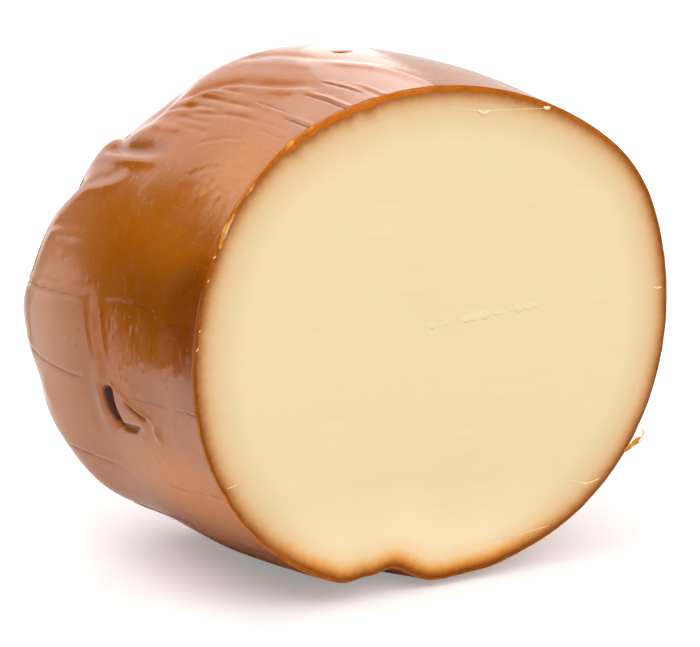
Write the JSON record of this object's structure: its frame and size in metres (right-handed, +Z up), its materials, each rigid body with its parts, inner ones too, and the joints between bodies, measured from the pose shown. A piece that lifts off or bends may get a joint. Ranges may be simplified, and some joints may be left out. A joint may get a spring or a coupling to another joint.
{
  "type": "cut scamorza cheese",
  "caption": "Smoked scamorza cut across, with a smooth cream cut face, a thin glossy brown rind with folds, a crease underneath and a rounded end.",
  "frame": {"origin": "middle of the underside, where the cheese rests, under the centre of its box", "axes": "+Z up, the cut face looks along -Y, the rounded end points along +Y, +X is to the right of someone facing the cut"},
  "size_m": [0.122, 0.086, 0.1086],
  "materials": {
    "smoked_rind": "thin smoked skin, orange-brown to dark brown, smooth and oily with a soft gloss, fine pimples and creases",
    "cheese_paste": "pale cream cheese, knife-cut smooth with a faint waxy sheen, stained orange-brown just inside the rind"
  },
  "bodies": {
    "root": {"scamorza": "smoked_rind"}
  },
  "joints": []
}
